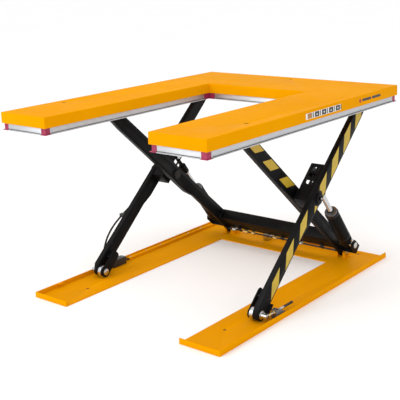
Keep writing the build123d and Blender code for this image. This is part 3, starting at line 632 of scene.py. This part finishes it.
def lug_welds():
    """Beads round the feet of the lugs on the base, and along those under the deck."""
    foot_level = corners("base_lugs")[0].z + 0.8
    low_y, high_y = bottom_pivot.y - LUG_HALF_FOOT, bottom_pivot.y + LUG_HALF_FOOT
    bottom = bmesh.new()
    for low_x, high_x in BASE_LUGS:
        for side in (1, -1):
            near, far = side * (low_x - 1), side * (high_x + 1)
            foot = [(near, low_y), (far, low_y), (far, high_y), (near, high_y), (near, low_y)]
            add_weld(bottom, WORLD, [(x, y, foot_level) for x, y in foot], 2.6)
    piece("base_lug_welds", bottom, weld_orange, "base", slot="deck_paint")
    under_deck = corners("top_lugs")[1].z - 0.8
    low_y, high_y = top_pivot.y - TOP_LUG_HALF_FOOT, top_pivot.y + TOP_LUG_HALF_FOOT
    top = bmesh.new()
    for low_x, high_x in TOP_LUGS:
        for side in (1, -1):
            for x in (side * (low_x - 1), side * (high_x + 1)):
                add_weld(top, WORLD, [(x, low_y, under_deck), (x, high_y, under_deck)], 2.6)
    piece("top_lug_welds", top, weld_black, "platform", slot="arm_paint")


# ------------------------------------------------------------------ pivots
def add_grease_nipple(bm, where):
    """A hexagon foot and a turned head."""
    add_hex(bm, where, 8, 0, 3.5)
    add_turned(bm, where, [(2.6, 3.5), (1.9, 6.0), (3.0, 8.5), (1.6, 9.6)], 20)


def beside(x, point, side, out):
    """A place at distance x from the middle plane, level with a joint, facing out."""
    return facing((side * x, point.y, point.z), (out, 0, 0))


def pivot_hardware():
    """Grease nipples on the pins, bolts on the top axles and washers on the foot pins."""
    base_bm = bmesh.new()
    deck_bm = bmesh.new()
    inner_bm = bmesh.new()
    dark_bm = bmesh.new()
    for side in (1, -1):
        add_grease_nipple(base_bm, beside(corners("bottom_pivot_pins")[1].x, bottom_pivot, side, side))
        add_grease_nipple(deck_bm, beside(corners("top_pins")[1].x, top_pivot, side, side))
        add_grease_nipple(inner_bm, beside(corners("centre_caps")[1].x, centre_pivot, side, side))
        # a dark disc on the inboard face of each inner arm at the centre pin
        inboard = beside(corners("inner_arm_right")[0].x, centre_pivot, side, -side)
        add_turned(dark_bm, inboard, [(22, -4), (22, 6.2), (20, 7.4), (16, 7.4), (15, 6.2)])
        add_bolt(inner_bm, beside(corners("top_axles")[1].x, top_axle, side, side), 8)
        foot_end = beside(corners("cylinder_base_pins")[1].x, foot_pin, side, side)
        add_turned(inner_bm, foot_end, [(15, 0), (15, 2), (12, 2.6)], 32)
    piece("base_grease_nipples", base_bm, zinc, "base", slot="steel")
    piece("deck_grease_nipples", deck_bm, zinc, "platform", slot="steel")
    piece("inner_frame_hardware", inner_bm, zinc, "inner_frame", slot="steel")
    piece("centre_pin_dark_discs", dark_bm, rubber_and_hole_shade, "inner_frame", slot="black_plastic")


def axle_hardware(side, name):
    """Washers at both ends of a bottom roller's axle."""
    bm = bmesh.new()
    outboard = beside(corners("outer_bushes_right")[1].x, axle, side, side)
    add_turned(bm, outboard, [(19, 0), (19, 2.5)], 36)
    add_turned(bm, outboard, [(16, 2.5), (16, 4.0), (15, 4.6)], 36)
    inboard = beside(corners("outer_arm_right")[0].x, axle, side, -side)
    add_turned(bm, inboard, [(16, 0), (16, 2), (15, 2.6)], 36)
    piece(f"axle_washers_{name}", bm, zinc, f"outer_frame_{name}", slot="steel")


# ------------------------------------------------------------------ cylinders
BARREL = 32.5
GLAND_FACE = 261.6
WIPER_LEVEL = 266.5
LOCK_NUT_LEVEL = 384
PIN_HOLE_CIRCLE = 25
PORT_LEVEL = 42


def band_profile(rise, shoulder, length):
    """A band round the barrel, rise proud of it, with sloped shoulders."""
    edge = BARREL + 0.2
    top = BARREL + rise
    return [(edge, 0), (top, shoulder), (top, length - shoulder), (edge, length)]


def cylinder_trim(side, name):
    """Bands, wiper, painted shade in the spanner holes, port cap and lock nut of one cylinder."""
    where = cylinder_place(side)
    bands = bmesh.new()
    add_turned(bands, at(where, 0, 0, 60), band_profile(0.8, 1, 7), 48)
    add_turned(bands, at(where, 0, 0, 240), band_profile(1.1, 1.5, 10), 48)
    piece(f"barrel_bands_{name}", bands, weld_black, f"cylinder_{name}", slot="arm_paint")
    wiper = bmesh.new()
    add_turned(wiper, at(where, 0, 0, WIPER_LEVEL), [(17, 0), (17, 1.5), (13.6, 4.5), (12.9, 4.6)])
    piece(f"rod_wiper_{name}", wiper, rubber_and_hole_shade, f"cylinder_{name}", slot="black_plastic")
    # painted shade: black discs on the gland face stand in for the shade inside the four spanner holes
    holes = bmesh.new()
    for x, y, _ in ring_points(PIN_HOLE_CIRCLE, 0, 4, math.pi / 4):
        add_turned(holes, at(where, x, y, GLAND_FACE), [(2.4, 0), (2.0, 0.8)], 16)
    piece(f"gland_pin_hole_shade_{name}", holes, print_black_and_hole_shade, f"cylinder_{name}", slot="black_plastic")
    nut = bmesh.new()
    add_hex(nut, at(where, 0, 0, LOCK_NUT_LEVEL), 32, 0, 9)
    piece(f"rod_lock_nut_{name}", nut, zinc, f"ram_{name}", slot="steel")
    cap = bmesh.new()
    port = foot_pin + PORT_LEVEL * ram_axis
    add_hex(cap, beside(foot_pin.x + BARREL + 7.5, port, side, side), 13, -2, 5)
    piece(f"port_cap_{name}", cap, zinc, f"cylinder_{name}", slot="steel")


# ------------------------------------------------------------------ hydraulic lines on the rear bar
FEED_LINE = (84, 8)       # along and above in the inner arm's place
FEED_UNIONS = (-60, -200)
FEED_TEE = 20
FEED_COUPLINGS = (-290, 268)
BLEED_LINE = (34, -20)
BLEED_NUTS = (            # distance across, half width, and whether it is zinc plated
    (-301, 9, True),
    (-222, 12, False),
    (-172, 8, False),
    (-30, 8, False),
    (70, 16, True),
    (128, 9, True),
)
COVER_SCREW_Y = [-40 + 113 * index for index in range(7)]
COVER_SCREW_X = (130, 200, 272)


def line_fittings():
    """Unions, nuts and sleeves on the feed line, the bleed line and the supply pipe."""
    middle_plane = inner_place(1, 0)
    brass_bm = bmesh.new()
    steel_bm = bmesh.new()
    for x in FEED_UNIONS:
        add_hex(brass_bm, at(middle_plane, *FEED_LINE, x), 17, -9, 9)
    add_hex(steel_bm, at(middle_plane, *FEED_LINE, FEED_TEE), 17, -9, 9)
    for x in FEED_COUPLINGS:
        where = at(middle_plane, *FEED_LINE, x)
        add_hex(steel_bm, where, 19, -14, 14)
        add_turned(steel_bm, at(where, 0, 0, -24), [(7, 0), (7, 48)], 28)
    for x, half_width, plated in BLEED_NUTS:
        target = steel_bm if plated else brass_bm
        sleeve = at(middle_plane, *BLEED_LINE, x)
        add_hex(target, sleeve, 17.5, -half_width, half_width)
        add_turned(target, sleeve, [(6, -half_width - 5), (6, half_width + 5)], 24)
    piece("feed_line_unions", brass_bm, MATERIALS["brass"], "inner_frame", slot="brass")
    piece("feed_line_nuts", steel_bm, zinc, "inner_frame", slot="steel")
    low, high = corners("supply_coupling")
    pipe_level = corners("supply_pipe")[0].z + 5
    nut_bm = bmesh.new()
    add_hex(nut_bm, facing((low.x, 655, pipe_level), (-1, 0, 0)), 15, 0, 11)
    add_hex(nut_bm, facing((-110, corners("swivel_body")[1].y, pipe_level), (0, 1, 0)), 15, 0, 11)
    for offset in (-9, 9):
        add_socket_screw(nut_bm, facing(((low.x + high.x) / 2 + offset, 650, high.z), (0, 0, 1)), 5)
    piece("supply_line_nuts", nut_bm, zinc, "base", slot="steel")


# ------------------------------------------------------------------ covers, switch and stop
def cover_screws():
    """Socket screws along the cable duct and along the supply line's cover."""
    low, high = corners("line_covers")
    bm = bmesh.new()
    for y in COVER_SCREW_Y:
        add_socket_screw(bm, facing((low.x + 11, y, 18), (0, 0, 1)), 4)
    for x in COVER_SCREW_X:
        add_socket_screw(bm, facing((x, 654, high.z), (0, 0, 1)), 4)
    piece("cover_screws", bm, zinc, "base", slot="steel")


def switch_details():
    """Screws, lid seal, cable and lever roller of the limit switch."""
    low, high = corners("limit_switch")
    middle_x = (low.x + high.x) / 2
    screws = bmesh.new()
    for y in (high.y - 12, high.y - 46):
        add_socket_screw(screws, facing((middle_x, y, high.z), (0, 0, 1)), 5)
    piece("switch_screws", screws, zinc, "base", slot="steel")
    seal = bmesh.new()
    lid = place((middle_x, (low.y + high.y) / 2 + 15, high.z - 9), (1, 0, 0), (0, 1, 0), (0, 0, 1))
    add_prism(seal, lid, rounded_box(35, 56, 2), 0, 1.2)
    piece("switch_lid_seal", seal, rubber_and_hole_shade, "base", slot="black_plastic")
    cable = bmesh.new()
    leave = Vector((middle_x - 4, high.y, 15))
    add_hex(cable, facing(leave, (0, 1, 0)), 15, 0, 8)
    add_turned(cable, facing(leave, (0, 1, 0)), [(6, 8), (6, 13), (4.2, 16)], 24)
    duct = corners("line_covers")[0]
    into_duct = Vector((duct.x + 11, duct.y, 11))
    inside_duct = into_duct + Vector((0, 30, 0))
    route = [leave + Vector((0, 10, 0)), leave + Vector((0, 30, -2)), into_duct, inside_duct]
    path = smooth_path(route, 4)
    add_swept(cable, path, [3.2] * len(path))
    piece("switch_cable", cable, rubber_and_hole_shade, "base", slot="black_plastic")
    tip = corners("switch_lever")[0]
    roller = bmesh.new()
    for x in (lever_pivot.x - 5.5, lever_pivot.x + 3.5):
        where = facing((x, tip.y + 6.2, lever_pivot.z), (1, 0, 0))
        add_turned(roller, where, [(4.6, 0), (5.2, 0.5), (5.2, 1.5), (4.6, 2)], 28)
    piece("lever_roller", roller, rubber_and_hole_shade, "switch_lever", slot="black_plastic")


def stop_details():
    """Two block screws and the thread of the travel stop's screw."""
    low, high = corners("travel_stop_block")
    bm = bmesh.new()
    for x in (low.x + 6, high.x - 6):
        add_socket_screw(bm, facing((x, low.y + 12, high.z), (0, 0, 1)), 5)
    screw_low, screw_high = corners("travel_stop_screw")
    axis = (screw_low + screw_high) / 2
    ends = [Vector((axis.x, y, axis.z)) for y in (high.y + 2, screw_high.y - 2)]
    path = even_points(ends, 0.75)
    add_swept(bm, path, [5.0 if index % 2 else 5.45 for index in range(len(path))], 18)
    piece("travel_stop_thread", bm, weld_black, "base", slot="steel")


# ------------------------------------------------------------------ conduit
CONDUIT = (               # along, above and out from the left outer arm's face
    (404, 12, 7),
    (352, 20, 12),
    (300, 27, 22),
    (232, 29, 35),
    (165, 26, 34),
    (110, 18, 20),
    (66, 8, 9),
)


def arm_point(side, along, above, out):
    """A point beside an outer arm in the row frame, in millimetres."""
    where = outer_place(side, corners("outer_bushes_right")[1].x + out)
    return (where @ Vector((along, above, 0))) / MM


def corrugated_conduit():
    """Ribbed conduit that bows out beside the left outer arm."""
    path = smooth_path([arm_point(-1, *point) for point in CONDUIT], 1.1)
    radii = [5.0 if index % 4 in (0, 1) else 4.3 for index in range(len(path))]
    bm = bmesh.new()
    add_swept(bm, path, radii, 20)
    made = piece("ribbed_conduit", bm, rubber_and_hole_shade, "outer_frame_left", slot="black_plastic")
    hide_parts("conduit")


def conduit_gland_nuts():
    """A nut where the conduit enters each gland."""
    bm = bmesh.new()
    for end, inward in ((CONDUIT[0], CONDUIT[1]), (CONDUIT[-1], CONDUIT[-2])):
        point = arm_point(-1, *end)
        heading = (point - arm_point(-1, *inward)).normalized()
        add_hex(bm, facing(point + heading * 4, heading), 17, 0, 8)
    piece("conduit_gland_nuts", bm, MATERIALS["black_plastic"], "outer_frame_left", slot="black_plastic")


# ------------------------------------------------------------------ safety edge
SEAL_LEVEL = 7
SCREW_LEVEL = 19
SLOT_FACE = 292.0         # face of the inner rails towards the opening
FRONT_RAIL_MIDDLE = 430.0
FRONT_RAIL_START = 324.0


def rail_lines():
    """Thin dark sealing line low on the outward face of each rail."""
    bm = bmesh.new()
    for side in (1, -1):
        for node, face_x, out in (
            ("edge_rails_outer", corners("edge_rails_outer")[1].x, side),
            ("edge_rails_inner", SLOT_FACE, -side),
        ):
            low, high = corners(node)
            middle = (side * face_x, (low.y + high.y) / 2, low.z + SEAL_LEVEL)
            where = place(middle, (0, 1, 0), (0, 0, 1), (out, 0, 0))
            add_prism(bm, where, rounded_box(high.y - low.y - 1, 2.0, 0.4), -0.1, 0.3)
        for node in ("edge_rails_front", "edge_rail_rear", "edge_rail_slot_end"):
            low, high = corners(node)
            is_front = node == "edge_rails_front"
            face_y, out = (high.y, 1) if node == "edge_rail_rear" else (low.y, -1)
            middle_x = FRONT_RAIL_MIDDLE if is_front else high.x / 2
            length = high.x - FRONT_RAIL_START if is_front else high.x
            where = place((side * middle_x, face_y, low.z + SEAL_LEVEL), (1, 0, 0), (0, 0, 1), (0, out, 0))
            add_prism(bm, where, rounded_box(length - 1, 2.0, 0.4), -0.1, 0.3)
    piece("edge_rail_seals", bm, rubber_and_hole_shade, "safety_edge", slot="black_plastic")


def edge_screws():
    """Small screws in the corners of the safety edge."""
    low, high = corners("edge_rails_outer")
    level = low.z + SCREW_LEVEL
    bm = bmesh.new()
    for side in (1, -1):
        for y in (low.y - 13, high.y + 13):
            add_socket_screw(bm, facing((side * (high.x - 6), y, level), (side, 0, 0)), 3)
        for x in (552, 316):
            add_socket_screw(bm, facing((side * x, -717, level), (0, -1, 0)), 3)
        add_socket_screw(bm, facing((side * 552, 717, level), (0, 1, 0)), 3)
    piece("edge_corner_screws", bm, MATERIALS["corner_plastic"], "safety_edge", slot="corner_plastic")


# ------------------------------------------------------------------ studio
FLOOR_SIZE = 60
WORLD_STRENGTH = 1.03
LIGHT_SIZE = 2.5
CAMERA_PLACE = (2.4411, -3.0022, 1.4855)
CAMERA_YAW = 0.673
CAMERA_PITCH = -0.242
CAMERA_ROLL = -0.031
CAMERA_LENS = 77.37
CAMERA_SHIFT = (-0.05, -0.075)


def floor():
    """A plain pale floor that fades into the white world."""
    bm = bmesh.new()
    bmesh.ops.create_grid(bm, x_segments=8, y_segments=8, size=FLOOR_SIZE)
    mesh = bpy.data.meshes.new("floor")
    bm.to_mesh(mesh)
    bm.free()
    ground = bpy.data.objects.new("floor", mesh)
    bpy.context.scene.collection.objects.link(ground)
    made, tree, shader, coordinates = new_material("studio_floor")
    clouds = remap(tree, noise(tree, coordinates, 0.6), 0.3, 0.7, 0.0, 1.0)
    tree.links.new(mixed(tree, clouds, (0.97, 0.97, 0.97), (0.96, 0.96, 0.96)), shader.inputs["Base Color"])
    shader.inputs["Roughness"].default_value = 0.9
    mesh.materials.append(made)


def area_light(name, location, target, power):
    """A square soft light aimed at a target."""
    light = bpy.data.lights.new(name, "AREA")
    light.size = LIGHT_SIZE
    light.energy = power
    holder = bpy.data.objects.new(name, light)
    holder.location = location
    holder.rotation_euler = (Vector(target) - Vector(location)).to_track_quat("-Z", "Y").to_euler()
    bpy.context.scene.collection.objects.link(holder)


def studio():
    """White world, a soft key light from the front left and a weak light from above."""
    world = bpy.data.worlds.new("studio")
    world.use_nodes = True
    background = world.node_tree.nodes["Background"]
    background.inputs["Color"].default_value = (1, 1, 1, 1)
    background.inputs["Strength"].default_value = WORLD_STRENGTH
    bpy.context.scene.world = world
    area_light("key", (-1.6, -4.2, 3.0), (0, 0, 0.5), 90)
    area_light("top", (0.4, 0.6, 4.5), (0, 0, 0.4), 12)
    bpy.context.scene.view_settings.view_transform = "Standard"
    floor()


def camera():
    """The photo's camera: in front and to the right, a little above the deck."""
    data = bpy.data.cameras.new("camera")
    data.lens = CAMERA_LENS
    data.sensor_width = 36.0
    data.shift_x, data.shift_y = CAMERA_SHIFT
    holder = bpy.data.objects.new("camera", data)
    heading = Matrix.Rotation(CAMERA_YAW, 4, "Z") @ Matrix.Rotation(math.pi / 2 + CAMERA_PITCH, 4, "X")
    holder.matrix_world = Matrix.Translation(CAMERA_PLACE) @ heading @ Matrix.Rotation(CAMERA_ROLL, 4, "Z")
    bpy.context.scene.collection.objects.link(holder)
    bpy.context.scene.camera = holder


dress_nodes()
for side, name in ((1, "right"), (-1, "left")):
    hazard_stripes(side, name)
    arm_welds(side, name)
    axle_hardware(side, name)
    cylinder_trim(side, name)
deck_markings()
hole_shade_discs()
frame_welds()
lug_welds()
pivot_hardware()
line_fittings()
cover_screws()
switch_details()
stop_details()
corrugated_conduit()
conduit_gland_nuts()
edge_screws()
rail_lines()
studio()
camera()
